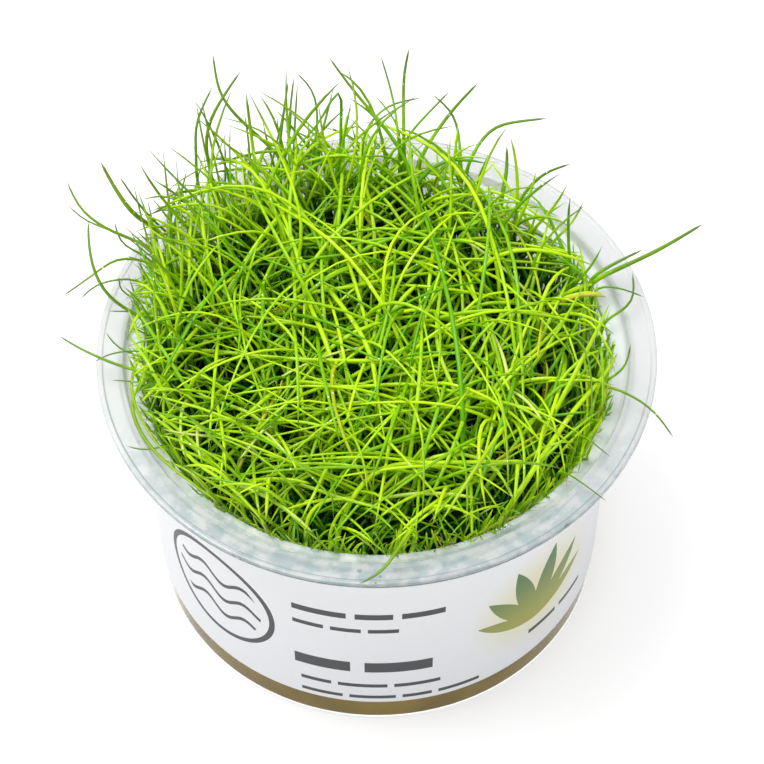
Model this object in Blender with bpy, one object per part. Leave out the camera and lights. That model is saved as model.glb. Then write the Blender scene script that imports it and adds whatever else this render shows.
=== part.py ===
"""Dwarf hairgrass growing on gel in a clear flanged cup with a plain sleeve label.

The origin is the centre of the cup's flat underside and +Z points up. Sizes below are millimetres.
The grass is a mat of tufts. Each tuft is one closed solid: a core that stands on the gel and widens
upwards, with a pointed lock drawn up from every face of its top. Some locks run on as long stray
blades that arch out past the rim.
"""

import math
import random

import bmesh
import bpy
from mathutils import Vector

MM = 0.001
TURN = 2 * math.pi
GAP = 0.3  # clear space kept between neighbouring pieces

# Cup
CUP_HEIGHT = 56.0
CUP_SEGMENTS = 48
BASE_RADIUS = 38.9
SHOULDER_RADIUS = 41.0  # outside of the wall where it meets the collar
SHOULDER_Z = 52.4
WALL = 0.8
FLOOR = 0.9
HEEL = 0.7  # height and width of the chamfer round the base
COLLAR_RADIUS = 44.1  # outside of the short collar under the flange
SEAT_RADIUS = 42.9  # bottom of the lid seat
SEAT_Z = 53.6
FLANGE_INNER_RADIUS = 43.3
FLANGE_RADIUS = 48.0
FLANGE_UNDERSIDE_Z = 54.8
BEAD_WIDTH = 1.0
BEAD_HEIGHT = 0.3

# Sleeve label
LABEL_BOTTOM_Z = 6.2
LABEL_TOP_Z = 51.6
LABEL_THICKNESS = 0.3

# Growth gel
GEL_TOP_Z = 12.0
GEL_MENISCUS = 0.5  # how far the gel climbs where it meets the wall

# Tufts
RINGS = (
    # name, number of tufts, radius of the ring, turn of the ring in tuft steps, height of the locks
    ("centre", 1, 0.0, 0.0, 64.0),
    ("inner", 6, 11.9, 0.25, 64.0),
    ("middle", 12, 23.2, 0.0, 63.0),
    ("outer", 18, 34.2, 0.5, 61.0),
)
TUFT_SIDES = 8
CROWN_SHARE = 0.7  # width of the tuft on the gel, as a share of its room
TOP_SHARE = 1.0
HEART_SHARE = 0.5  # width of the middle face of the top
TUFT_SHOULDER_Z = 48.0
SHOULDER_SPREAD = 2.0
HEART_RISE = 2.5
LOCK_WAIST = 0.55  # size of a lock's section half way up, as a share of its foot
LOCK_SWIRL = 0.35  # radians that the tips turn round the tuft's axis
OUTER_WAIST_SHARE = 0.76  # how far out the waists and the tips stand, as shares of the tuft's room
HEART_WAIST_SHARE = 0.5
OUTER_TIP_SHARES = (0.8, 0.98)
HEART_TIP_SHARES = (0.35, 0.7)
OUTER_TIP_DROP = 1.5
HEIGHT_SPREAD = 3.0
HEART_LEAN = 1.5
TIP_LIMIT_RADIUS = 42.6  # above the rim the tips may lean out as far as this
WILD_BEARING = math.radians(125)  # the grass is longest at the back left
WILD_RISE = 10.0  # how much higher locks at the wall would reach there
WILD_LEAN = 3.0  # and how much farther out they lean

# Long stray blades: where each leaves the mat, then its bends, and last its tip
STRAY_HALF_WIDTH = 0.5
STRAY_TIP_SHARE = 0.45  # width of the last section, as a share of the first
STRAY_SECTIONS = 7
STRAY_WAIST_RISE = 3.0
RIM_CLEARANCE = 2.0  # how far inside the wall a stray blade passes the rim
STRAYS = {
    "back_left_wavy": ((-16, 37, 63), (-24, 40, 71), (-28, 46, 81)),
    "back_left_tall": ((-28, 31, 68), (-29, 35, 74), (-23, 41, 82)),
    "back_left_low": ((-31, 28, 64), (-31, 33, 70), (-28, 41, 78)),
    "back_split": ((-11, 37, 62), (-10, 41, 70), (-14, 46, 76)),
    "back_kinked": ((-6, 38, 65), (-6, 40, 76), (-15, 35, 67)),
    "back_arched": ((3, 39, 63), (-4, 42, 76), (-8, 45, 81)),
    "back_tall": ((5, 39, 64), (5, 44, 76), (6, 46, 82)),
    "back_right_short": ((15, 38, 62), (14, 42, 68), (10, 44, 72)),
    "back_right_arched": ((9, 39, 62), (13, 42, 69), (18, 44, 75)),
    "back_right_flat": ((18, 36, 63), (24, 40, 69), (30, 40, 70)),
    "right_back": ((25, 31, 58), (29, 33, 63), (34, 33, 66)),
    "right_upright": ((30, 21, 58), (34, 23, 62), (36, 26, 64)),
    "right_long": ((38, 13, 59), (48, 15, 64), (56, 17, 69)),
    "right_hooked": ((40, -9, 58), (47, -15, 58), (50, -18, 55)),
    "left_back_thick": ((-36, 20, 59), (-42, 22, 67), (-47, 26, 76)),
    "left_back_long": ((-38, 16, 60), (-46, 19, 66), (-53, 25, 72)),
    "left_curled": ((-40, 5, 58), (-48, 9, 67), (-49, 17, 71)),
    "left_drooping": ((-39, 10, 60), (-47, 11, 63), (-54, 10, 59)),
    "left_low": ((-39, -7, 59), (-50, -3, 61), (-54, 0, 61)),
    "front_low": ((5, -40, 60), (0, -47, 60), (-3, -49, 58)),
}


def clear_scene():
    for scene_object in list(bpy.data.objects):
        bpy.data.objects.remove(scene_object)


def make_material(name, colour, roughness, alpha=1.0):
    material = bpy.data.materials.new(name)
    material.use_nodes = True
    shader = material.node_tree.nodes["Principled BSDF"]
    shader.inputs["Base Color"].default_value = (*colour, 1.0)
    shader.inputs["Roughness"].default_value = roughness
    shader.inputs["Metallic"].default_value = 0.0
    shader.inputs["Alpha"].default_value = alpha
    return material


def make_object(name, shape, material, smooth_degrees=None):
    """Turns a bmesh in millimetres into an object in metres."""
    bmesh.ops.recalc_face_normals(shape, faces=shape.faces)
    bmesh.ops.scale(shape, vec=(MM, MM, MM), verts=shape.verts)
    mesh = bpy.data.meshes.new(name)
    shape.to_mesh(mesh)
    shape.free()
    mesh.materials.append(material)
    if smooth_degrees is not None:
        mesh.shade_smooth()
        mesh.set_sharp_from_angle(angle=math.radians(smooth_degrees))
    made = bpy.data.objects.new(name, mesh)
    bpy.context.scene.collection.objects.link(made)
    return made


def polar(radius, angle, z):
    return Vector((radius * math.cos(angle), radius * math.sin(angle), z))


def turned_shape(profile, is_loop=False):
    """Turns (radius, z) points round the Z axis. A point on the axis becomes a single vertex."""
    shape = bmesh.new()
    rings = []
    for radius, z in profile:
        if radius == 0:
            rings.append([shape.verts.new((0, 0, z))] * CUP_SEGMENTS)
            continue
        rings.append([shape.verts.new(polar(radius, TURN * i / CUP_SEGMENTS, z)) for i in range(CUP_SEGMENTS)])
    pairs = list(zip(rings, rings[1:]))
    if is_loop:
        pairs.append((rings[-1], rings[0]))
    for lower, upper in pairs:
        for i in range(CUP_SEGMENTS):
            following = (i + 1) % CUP_SEGMENTS
            corners = (lower[i], lower[following], upper[following], upper[i])
            shape.faces.new(list(dict.fromkeys(corners)))
    return shape


def wall_radius(z):
    """Outside radius of the cup's wall at a height."""
    share = (z - HEEL) / (SHOULDER_Z - HEEL)
    return BASE_RADIUS + share * (SHOULDER_RADIUS - BASE_RADIUS)


def build_cup(material):
    profile = (
        (0, 0),
        (BASE_RADIUS - HEEL, 0),
        (BASE_RADIUS, HEEL),
        (SHOULDER_RADIUS, SHOULDER_Z),
        (COLLAR_RADIUS, SEAT_Z - WALL),
        (COLLAR_RADIUS, FLANGE_UNDERSIDE_Z),
        (FLANGE_RADIUS, FLANGE_UNDERSIDE_Z),
        (FLANGE_RADIUS, CUP_HEIGHT),
        (FLANGE_RADIUS - BEAD_WIDTH, CUP_HEIGHT),
        (FLANGE_RADIUS - BEAD_WIDTH, CUP_HEIGHT - BEAD_HEIGHT),
        (FLANGE_INNER_RADIUS, CUP_HEIGHT - BEAD_HEIGHT),
        (SEAT_RADIUS, SEAT_Z),
        (SHOULDER_RADIUS - WALL, SEAT_Z),
        (wall_radius(FLOOR) - WALL, FLOOR),
        (0, FLOOR),
    )
    make_object("cup", turned_shape(profile), material, smooth_degrees=25)


def build_label(material):
    inner_low = wall_radius(LABEL_BOTTOM_Z) + GAP
    inner_high = wall_radius(LABEL_TOP_Z) + GAP
    profile = (
        (inner_low, LABEL_BOTTOM_Z),
        (inner_low + LABEL_THICKNESS, LABEL_BOTTOM_Z),
        (inner_high + LABEL_THICKNESS, LABEL_TOP_Z),
        (inner_high, LABEL_TOP_Z),
    )
    make_object("label", turned_shape(profile, is_loop=True), material, smooth_degrees=25)


def build_gel(material):
    lowest = FLOOR + GAP
    profile = (
        (0, lowest),
        (wall_radius(lowest) - WALL - GAP, lowest),
        (wall_radius(GEL_TOP_Z) - WALL - GAP, GEL_TOP_Z),
        (wall_radius(GEL_TOP_Z) - WALL - GAP - 2 * GEL_MENISCUS, GEL_TOP_Z - GEL_MENISCUS),
        (0, GEL_TOP_Z - GEL_MENISCUS),
    )
    make_object("growth_gel", turned_shape(profile), material, smooth_degrees=25)


def wildness(site):
    """1 for a tuft at the wall at the back left, where the grass is longest, 0 in the middle or opposite."""
    facing = 0.5 + 0.5 * math.cos(math.atan2(site.y, site.x) - WILD_BEARING)
    return facing * (site.length / SHOULDER_RADIUS) ** 2


def tuft_places():
    """The name, the crown's place and the height of the locks of every tuft."""
    places = []
    for ring_name, count, radius, turn, height in RINGS:
        for i in range(count):
            name = "tuft_" + ring_name
            if count > 1:
                name += "_%d" % (i + 1)
            site = polar(radius, TURN * (i + turn) / count, 0)
            places.append((name, site, height + WILD_RISE * wildness(site)))
    return places


def room(site, direction, sites, inside):
    """How far a tuft can spread from its site before it meets a neighbour or a circle round the mat."""
    along = site.dot(direction)
    limits = [math.sqrt(along**2 - site.length_squared + inside**2) - along]
    for other in sites:
        offset = other - site
        if offset.length > 0 and offset.dot(direction) > 0:
            limits.append((offset.length - GAP) / 2 * offset.length / offset.dot(direction))
    return min(limits)


def section_round(shape, centre, along, half_width, first_corner):
    """Three corners of a blade's section square to its run, the first one nearest to a given corner."""
    along = along.normalized()
    side = first_corner - centre
    side = (side - along * side.dot(along)).normalized()
    other_side = along.cross(side)
    corners = []
    for i in range(3):
        angle = TURN * i / 3
        corner = centre + half_width * (side * math.cos(angle) + other_side * math.sin(angle))
        corners.append(shape.verts.new(corner))
    return corners


def join_rings(shape, lower, upper):
    for i in range(len(lower)):
        following = (i + 1) % len(lower)
        shape.faces.new((lower[i], lower[following], upper[following], upper[i]))


def close_tip(shape, ring, tip):
    point = shape.verts.new(tip)
    for i in range(len(ring)):
        shape.faces.new((ring[i], ring[(i + 1) % len(ring)], point))


def middle_of(ring):
    return sum((vertex.co for vertex in ring), Vector()) / len(ring)


def add_lock(shape, foot, waist_centre, tip):
    """A pointed lock that stands on the corners of its foot."""
    centre = middle_of(foot)
    waist = [shape.verts.new(waist_centre + (vertex.co - centre) * LOCK_WAIST) for vertex in foot]
    join_rings(shape, foot, waist)
    close_tip(shape, waist, tip)


def smooth_route(points, count):
    """Evenly spaced points on a smooth curve through the given ones."""
    ends = [points[0] * 2 - points[1]] + points + [points[-1] * 2 - points[-2]]
    route = []
    for i in range(count):
        place = i / (count - 1) * (len(points) - 1)
        span = min(int(place), len(points) - 2)
        t = place - span
        before, start, end, after = ends[span : span + 4]
        bend = 2 * before - 5 * start + 4 * end - after
        twist = 3 * start - before - 3 * end + after
        route.append((2 * start + (end - before) * t + bend * t**2 + twist * t**3) / 2)
    return route


def add_stray(shape, foot, waist_centre, points):
    """A lock that runs on past the rim as one long blade through the given points."""
    centre = middle_of(foot)
    at_rim = Vector(points[0])
    rim_radius = SHOULDER_RADIUS - WALL - RIM_CLEARANCE
    at_rim.xy *= min(1.0, rim_radius / at_rim.xy.length)
    at_rim.z = CUP_HEIGHT - WALL
    route = smooth_route([waist_centre, at_rim] + [Vector(point) for point in points], STRAY_SECTIONS + 2)
    ring = [shape.verts.new(waist_centre + (vertex.co - centre) * LOCK_WAIST) for vertex in foot]
    join_rings(shape, foot, ring)
    for i in range(1, STRAY_SECTIONS + 1):
        share = (i - 1) / (STRAY_SECTIONS - 1)
        half_width = STRAY_HALF_WIDTH * (1 + share * (STRAY_TIP_SHARE - 1))
        first_corner = ring[0].co - middle_of(ring) + route[i]
        section = section_round(shape, route[i], route[i + 1] - route[i - 1], half_width, first_corner)
        join_rings(shape, ring, section)
        ring = section
    close_tip(shape, ring, route[-1])


def build_tuft(name, site, height, sites, strays, material, dice):
    shape = bmesh.new()
    turn = dice.uniform(0, TURN)
    angles = [turn + TURN * i / TUFT_SIDES for i in range(TUFT_SIDES)]
    shoulder_z = TUFT_SHOULDER_Z + dice.uniform(-SHOULDER_SPREAD, SHOULDER_SPREAD)
    swirl = LOCK_SWIRL * dice.choice((-1, 1))
    inside = wall_radius(TUFT_SHOULDER_Z - SHOULDER_SPREAD) - WALL - 2 * GAP

    def ring_of(share, z):
        corners = []
        for angle in angles:
            reach = room(site, polar(1, angle, 0), sites, inside)
            corners.append(shape.verts.new(site + polar(share * reach, angle, z)))
        return corners

    crown = ring_of(CROWN_SHARE, GEL_TOP_Z + GAP)
    rim = ring_of(TOP_SHARE, shoulder_z)
    heart = ring_of(HEART_SHARE, shoulder_z + HEART_RISE)
    shape.faces.new(crown[::-1])
    join_rings(shape, crown, rim)

    def waist_of(foot, share, z):
        """The point where a lock bends, at a share of the tuft's room."""
        offset = middle_of(foot) - site
        angle = math.atan2(offset.y, offset.x) + swirl / 2
        return site + polar(share * room(site, polar(1, angle, 0), sites, inside), angle, z)

    def tip_of(foot, share, z):
        offset = middle_of(foot) - site
        angle = math.atan2(offset.y, offset.x) + swirl + dice.uniform(-0.1, 0.1)
        limit = TIP_LIMIT_RADIUS + WILD_LEAN * wildness(site) if z > CUP_HEIGHT else inside
        return site + polar(share * room(site, polar(1, angle, 0), sites, limit), angle, z)

    feet = []
    for i in range(TUFT_SIDES):
        following = (i + 1) % TUFT_SIDES
        feet.append((rim[i], rim[following], heart[i]))
        feet.append((heart[i], rim[following], heart[following]))
    outer_feet = feet[0::2]
    stray_feet = {}
    for points in strays:
        start = Vector(points[0])
        free = [foot for foot in outer_feet if foot not in stray_feet]
        nearest = min(free, key=lambda foot: (middle_of(foot).xy - start.xy).length)
        stray_feet[nearest] = points

    for foot in feet:
        is_outer = foot in outer_feet
        tip_share = dice.uniform(*(OUTER_TIP_SHARES if is_outer else HEART_TIP_SHARES))
        waist_share = OUTER_WAIST_SHARE if is_outer else HEART_WAIST_SHARE
        tip_z = height + dice.uniform(-HEIGHT_SPREAD, HEIGHT_SPREAD) - (OUTER_TIP_DROP if is_outer else 0)
        tip = tip_of(foot, tip_share, tip_z)
        if foot in stray_feet:
            waist = waist_of(foot, waist_share, shoulder_z + STRAY_WAIST_RISE)
            add_stray(shape, foot, waist, stray_feet[foot])
        else:
            waist = waist_of(foot, waist_share, (shoulder_z + tip_z) / 2)
            add_lock(shape, foot, waist, tip)

    lean = polar(dice.uniform(0, HEART_LEAN), dice.uniform(0, TURN), 0)
    heart_tip = site + lean
    heart_tip.z = height + dice.uniform(0, HEIGHT_SPREAD)
    heart_waist = site + lean / 2
    heart_waist.z = (shoulder_z + heart_tip.z) / 2
    add_lock(shape, heart, heart_waist, heart_tip)
    make_object(name, shape, material)


def build_grass(material):
    places = tuft_places()
    sites = [site for name, site, height in places]
    hosted = {name: [] for name, site, height in places}
    for points in STRAYS.values():
        start = Vector(points[0])
        host = min(places, key=lambda place: (place[1].xy - start.xy).length)
        hosted[host[0]].append(points)
    dice = random.Random(7)
    for name, site, height in places:
        build_tuft(name, site, height, sites, hosted[name], material, dice)


def main():
    clear_scene()
    build_cup(make_material("clear_plastic", (0.86, 0.9, 0.9), 0.15, alpha=0.35))
    build_label(make_material("label_white", (0.82, 0.83, 0.86), 0.45))
    build_gel(make_material("tan_gel", (0.25, 0.16, 0.05), 0.3))
    build_grass(make_material("grass_green", (0.27, 0.5, 0.02), 0.5))


main()
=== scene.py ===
"""The finish of the dwarf hairgrass: fine blades, the clear cup, its sleeve label and the gel.

Lengths are millimetres until they are written into a mesh, and angles are radians.
"""

import math

import bmesh
import bpy
import numpy as np
from mathutils import Matrix, Vector


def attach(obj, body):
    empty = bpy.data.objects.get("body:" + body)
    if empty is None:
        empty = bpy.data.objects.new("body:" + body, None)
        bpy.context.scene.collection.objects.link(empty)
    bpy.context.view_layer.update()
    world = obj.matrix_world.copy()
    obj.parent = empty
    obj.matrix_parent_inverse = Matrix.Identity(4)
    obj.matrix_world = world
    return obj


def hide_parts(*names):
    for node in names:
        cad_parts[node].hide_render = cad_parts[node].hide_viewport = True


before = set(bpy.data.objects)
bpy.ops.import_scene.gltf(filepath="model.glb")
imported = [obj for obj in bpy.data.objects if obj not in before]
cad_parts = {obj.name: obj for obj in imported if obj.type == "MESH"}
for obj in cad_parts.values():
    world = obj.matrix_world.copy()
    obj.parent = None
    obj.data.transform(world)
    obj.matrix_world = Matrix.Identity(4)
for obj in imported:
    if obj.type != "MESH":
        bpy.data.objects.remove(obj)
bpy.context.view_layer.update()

MM = 0.001
TURN = 2 * math.pi
IMAGE_SIZE = 764
WHITE = (1, 1, 1, 1)

# Camera, fitted to the circles of the cup
CAMERA_ELEVATION = math.radians(53.46)
CAMERA_ROLL = math.radians(-0.39)
CAMERA_DISTANCE = 691.5
LOOK_AT = Vector((0.89, 0, 47.15))
FOCAL_PIXELS = 4000
SENSOR_WIDTH = 36

# Cup
CUP_HEIGHT = 56
CUP_SEGMENTS = 192
BASE_RADIUS = 38.9
SHOULDER_RADIUS = 41
SHOULDER_Z = 52.4
WALL = 0.8
BASE_WALL = 0.45  # the wall's thickness at the base
FLOOR = 0.15
HEEL = 0.35  # height of the rounded heel
HEEL_WIDTH = 0.2
HEEL_BULGE = 0.02
BEND = 0.8  # how far from its ends the wall's outline starts to turn
CORNER_RADIUS = 0.5
CORNER_STEPS = 4
SIDE_SHARE = 1 / 2.2  # of a side that a rounded corner may take up
COLLAR_RADIUS = 44.1
MOUTH_RADIUS = SHOULDER_RADIUS - WALL
SEAT_RADIUS = 42.9
SEAT_Z = 53.6
FLANGE_INNER_RADIUS = 43.3
FLANGE_RADIUS = 48
FLANGE_UNDERSIDE_Z = 54.8
BEAD_WIDTH = 1
BEAD_HEIGHT = 0.3
BEAD_SLOPE = 0.2
SHARPEST_SMOOTH = math.radians(35)  # edges that turn more than this stay sharp

# Looks of the plastic: where each change starts and ends
WET_FRONT = (-5, -40)
LIP_SHADOW_OUT = (FLANGE_RADIUS - 0.4, FLANGE_RADIUS - 0.1)
LIP_SHADOW_DOWN = (CUP_HEIGHT - 0.4, CUP_HEIGHT - 0.7)
LIP_SHADOW_FRONT = (-30, -44)
BEAD_FRONT = (5, -15)
BEAD_LINE = 0.14  # half the width of the painted shade line along its foot
SEAT_HAZE_AND_LIGHT = (SEAT_RADIUS + 0.2, SEAT_RADIUS - 0.8)
SLEEVE_SHOWS = (30, 45)
SLEEVE_BACK = (5, 30)
SLEEVE_GLOW = 0.3

# Sleeve label
LABEL_BOTTOM_Z = 6.2
LABEL_TOP_Z = 51.6
LABEL_AIR = 0.08  # between the wall and the sleeve
LABEL_THICKNESS = 0.2
LABEL_RADIUS = 40.2  # turns angles into lengths along the print

# Print on the label. u runs round the cup to the right from the middle of the front, v is the height.
PRINT_ROWS = (
    # bottom and top of each row, and the left and right ends of its bars
    (34, 35.7, (-15, -5.5), (-4, 2.5), (4, 11.5)),
    (29.6, 30.8, (-15, -9.5), (-8.3, -3), (-1.8, 3.5)),
    (16.4, 19.6, (-15, -5), (-2.5, 9.5)),
    (11.2, 12.3, (-14, -8.5), (-7.3, 1.5), (2.7, 11)),
    (7.4, 8.4, (-14, -6.5), (-5.3, 3), (4.2, 9.5), (10.7, 18.5)),
    (13, 14.2, (29, 36), (37.2, 44)),
)
BADGE_MIDDLE = (-31, 26)
BADGE_RADIUS = 12
BADGE_LINE = 0.55  # half the width of its lines
WAVE_HEIGHTS = (-5, 0, 5)  # of the badge's wavy lines, from its middle
WAVE_SWING = 1.3
WAVE_LENGTH = 9
LEAF_FOOT = (30, 17.5)
LEAVES = (
    # turn from upright in degrees, length, half width
    (-62, 14, 1.5),
    (-38, 17, 1.8),
    (-14, 19.5, 2),
    (12, 20, 2),
    (37, 17.5, 1.8),
    (61, 14.5, 1.5),
)
LEAF_TOP = 18  # over their foot, where their colour is darkest
LEAF_WASH = (1, 7)  # middle of the pale wash round them, from their foot
LEAF_WASH_REACH = (17, 4)  # where it starts and where it is full
SEAM_U = 119  # where the sleeve's ends overlap, at the back
SEAM_HALF_WIDTH = 0.15

# Gel
GEL_TOP_Z = 12
GEL_GAP = 0.05  # between the gel and the cup
GEL_EDGE = 0.1  # size of its rounded edges
GEL_EDGE_SLOPE = 0.01
MENISCUS = (1.2, 0.6)  # how far in from the wall and down the surface curves
GEL_SURFACE = ((30, 0.5), (15, 0.3), (0, 0.3))  # distances from the axis, and depths under the edge

# Grass
RINGS = (
    # name, number of tufts, radius of the ring, turn of the ring in tuft steps
    ("centre", 1, 0, 0),
    ("inner", 6, 11.9, 0.25),
    ("middle", 12, 23.2, 0),
    ("outer", 18, 34.2, 0.5),
)
OUTER_TUFTS, OUTER_RADIUS = RINGS[-1][1:3]
CROWN_RADIUS = 5
ROOT_DEPTH = 1  # of the blades' feet in the gel
ROOT_GAP = 1  # from a foot to the cup's wall
EDGE_BAND = (0.5, 2)  # how far inside the wall the blades at the edge stand
WALL_GAP = 0.4  # from the cup's wall to a blade's middle
SEAT_GAP = 0.3  # blades this far above the lid seat begin to lean out over it
SEAT_EASE = 0.8  # and this much higher they may cover it
SEAT_TIP_GAP = 1.2  # tips this far above the lid seat may stand over it
RIM_GAP = 2  # tips this far above the rim may reach over the flange
OVERHANG = 0.3  # how far blades lean out over the lid seat at the right, from 0 to 1
OVERHANG_FRONT = 1.5  # more in front, less behind
OVERHANG_LEFT = 0.9  # more at the left
SPILL_RADIUS = 40.5  # how far tips reach over the rim at the right and in front
SPILL_WILD = 7  # and how much farther at the back left, where the grass is longest
SPILL_FOCUS = 6  # how closely that reach keeps to the wild bearing
WILD_BEARING = math.radians(125)
BARE_BEARING = math.radians(48)  # at the back right few blades reach over the rim
BARE_FOCUS = 4
BARE_DROP = 6  # how much lower the mat is there
BARE_GAP = 2.5  # and how much farther its tips stay from the rim
LEAN = (-2.5, 1.5)  # of a blade that reaches as far as LEAN_REACH
LEAN_REACH = 20
TIP_TRIES = 3  # turns that a tip past its limit gets
TIP_SHORTENING = 0.95  # share of its reach that it keeps at each
CANOPY_DOME = 3  # how much higher the mat is in the middle
CANOPY_WILD = 1.5  # and at the back left
MIDDLE_CEILING = 66.5  # how high tips reach over the middle of the mat
WALL_CEILING = 82  # and by the wall
CEILING_START = 20  # distance from the axis where the ceiling starts to rise
CEILING_RUN = 16
ARCH_RISE = 22  # how far above its tip a blade may aim. It rises about a quarter as far.
ARC_SWING = 0.45  # radians that blades typically turn aside on their way
ARC_RISE_SHARE = 0.4  # share of a blade's height that adds to the pull at its tip
FOOT_LEAN = 0.1  # share of its reach that a blade's foot leans
FOOT_RISE = (0.4, 0.7)  # share of its height that its foot aims up
BLADE_KINDS = {
    # In each tuft: how many blades, how high they reach and how far from their feet, the slope of their
    # tips (degrees), how long they keep it, their width, the pale and brown shares, and the cross-sections
    "low": (30, (22, 49), (8, 34), (-20, 50), (0.3, 0.8), (0.3, 0.52), (0.08, 0.05), 9),
    "standing": (10, (44, 60), (5, 24), (-10, 60), (0.3, 0.7), (0.36, 0.62), (0.12, 0.1), 12),
    "arching": (21, (50, 63), (30, 62), (-48, 14), (0.6, 1.05), (0.46, 0.84), (0, 0.01), 20),
    "tall": (26, (58, 80), (8, 36), (5, 80), (0.4, 0.95), (0.46, 0.74), (0, 0), 16),
    "edge": (46, (52, 61), (4, 14), (45, 89), (0.3, 0.7), (0.36, 0.64), (0.05, 0.05), 16),
}
OUTWARD_FAN = {
    # How far these blades turn aside from straight outwards, and how widely that spreads
    "tall": (0, 0.9),
    "edge": (0.75, 0.3),
}
EDGE_THINNING = 0.55  # share of the edge blades that is missing at the wild side
STANDING_THINNING = 0.5  # and of the standing ones
BLADE_SIDES = 6
BLADE_FLATNESS = 0.75  # thickness as a share of the width
TIP_SHARE = 0.45  # width of the last section as a share of the widest
TIP_POWER = 8  # the higher, the shorter the point
FOOT_SHARE = 0.7  # width at the foot
FOOT_LENGTH = 0.2  # share of the blade in which it reaches its full width
TINT_FOCUS = 2  # the higher, the closer most tints are to the middle
PALE_RANGE = (0.4, 1)
BROWN_RANGE = (0.3, 1)
ANY_DIRECTION = (0.31, 0.77, 0.1)  # starts the blades' sections

# Plantlets that grow on the mat from runners: where their heart is
ROSETTES = (
    (2.9, 17.3, 60.5), (21.6, -10, 60), (-32.5, -3.2, 58.5), (-24.1, -27.5, 57.5),
    (-0.4, -31.4, 58), (-27.6, 6.7, 60), (10.4, 21.2, 60.5), (-0.8, -2.1, 61.5),
    (28.9, 7.7, 58.5), (15.4, -27.9, 58), (-18, -16.3, 58.5),
)
ROSETTE_BLADES = 7
ROSETTE_REACH = (13, 24)
ROSETTE_TOP = (-2, 5)  # heights of the tips over the heart
ROSETTE_FOOT = (0.2, 1.5)  # from the heart to the blades' feet: sideways and down
ROSETTE_START = (0.25, 3)  # their first aim: share of their reach, and height over their feet
ROSETTE_END = 0.35  # share of their reach from their last aim to their tips
ROSETTE_FALL = (-4, 1)  # and the height
ROSETTE_WIDTH = (0.5, 0.85)
ROSETTE_SECTIONS = 13
ROSETTE_JITTER = 0.3  # share of the step between blades by which each may be turned
ROSETTE_TINTS = (0.5, 1)
ROSETTE_SHARES = (0.12, 0.05)  # of pale and of brown blades
RUNNER_BEND = (0.7, 16)  # share of the way to the heart where a runner bends, and how far below
RUNNER_RISE = 4  # length of its upright end
RUNNER_SECTIONS = 12
RUNNER_END = 0.9  # how far along its colours it runs
RUNNER_WIDTH = 0.8
RUNNER_TRAITS = (0.8, 0.3, 0)  # tint, pale and brown

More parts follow.
